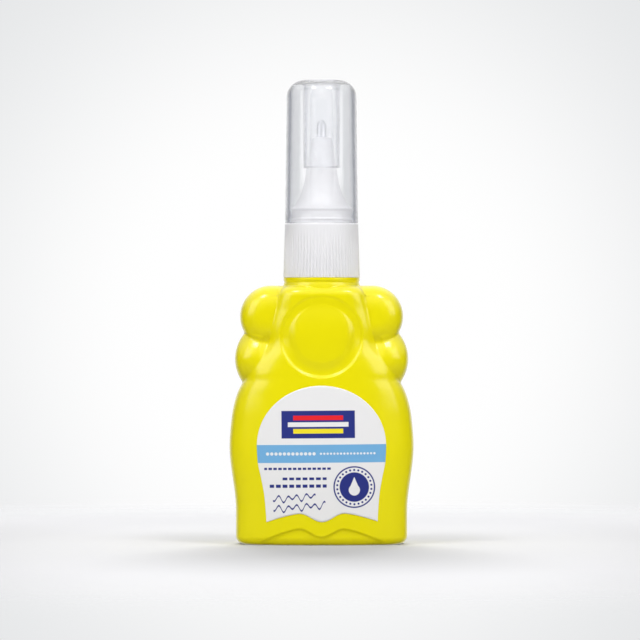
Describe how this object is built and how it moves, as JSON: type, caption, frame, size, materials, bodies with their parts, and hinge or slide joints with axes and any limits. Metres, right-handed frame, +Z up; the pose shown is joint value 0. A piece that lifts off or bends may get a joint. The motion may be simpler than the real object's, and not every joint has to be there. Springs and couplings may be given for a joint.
{
  "type": "correction fluid bottle",
  "caption": "Flat squeeze bottle with side lobes, a screwed ribbed nozzle collar, a sprung steel tip and a clear push-on cap, for dabbing correction fluid on paper.",
  "frame": {"origin": "centre of the flat base the bottle stands on", "axes": "+Z up along the bottle, cap and tip; +X to the right across the flat front; the main label faces -Y"},
  "size_m": [0.0418, 0.0206, 0.105],
  "materials": {
    "bottle": "smooth semi-gloss yellow polyethylene",
    "label": "satin white film with a blue stripe",
    "gasket": "matt off-white foam",
    "collar": "satin white polypropylene",
    "tip": "fine turned steel",
    "needle": "polished steel",
    "spring": "drawn steel wire",
    "retainer": "plain moulded acetal",
    "ball": "ground bearing steel",
    "cap": "clear glossy polystyrene"
  },
  "bodies": {
    "bottle": {"bottle_body": "bottle", "front_label": "label", "back_label": "label"},
    "ball": {"mixing_ball": "ball"},
    "seal": {"neck_gasket": "gasket"},
    "nozzle": {"nozzle_collar": "collar", "metal_tip": "tip", "valve_spring": "spring", "spring_retainer": "retainer"},
    "needle": {"valve_needle": "needle"},
    "cap": {"cap": "cap"}
  },
  "joints": [
    {"name": "ball_roll", "type": "slide", "parent": "bottle", "child": "ball", "axis": [0, 0, 1], "range_m": [0, 0.073]},
    {"name": "collar_rise", "type": "slide", "parent": "bottle", "child": "seal", "axis": [0, 0, 1], "range_m": [0, 0.0045]},
    {"name": "collar_turn", "type": "hinge", "parent": "seal", "child": "nozzle", "pos_m": [0, 0, 0.0664], "axis": [0, 0, 1], "range_deg": [0, 540]},
    {"name": "needle_press", "type": "slide", "parent": "nozzle", "child": "needle", "axis": [0, 0, -1], "range_m": [0, 0.0003], "stiffness_N_per_m": 300, "springref_m": -0.001, "deforming": ["valve_spring"]},
    {"name": "cap_pull", "type": "slide", "parent": "nozzle", "child": "cap", "axis": [0, 0, 1], "range_m": [0, 0.03]}
  ],
  "couplings": [
    {"joint": "collar_rise", "follows": "collar_turn", "m_per_rad": 0.00047746}
  ]
}
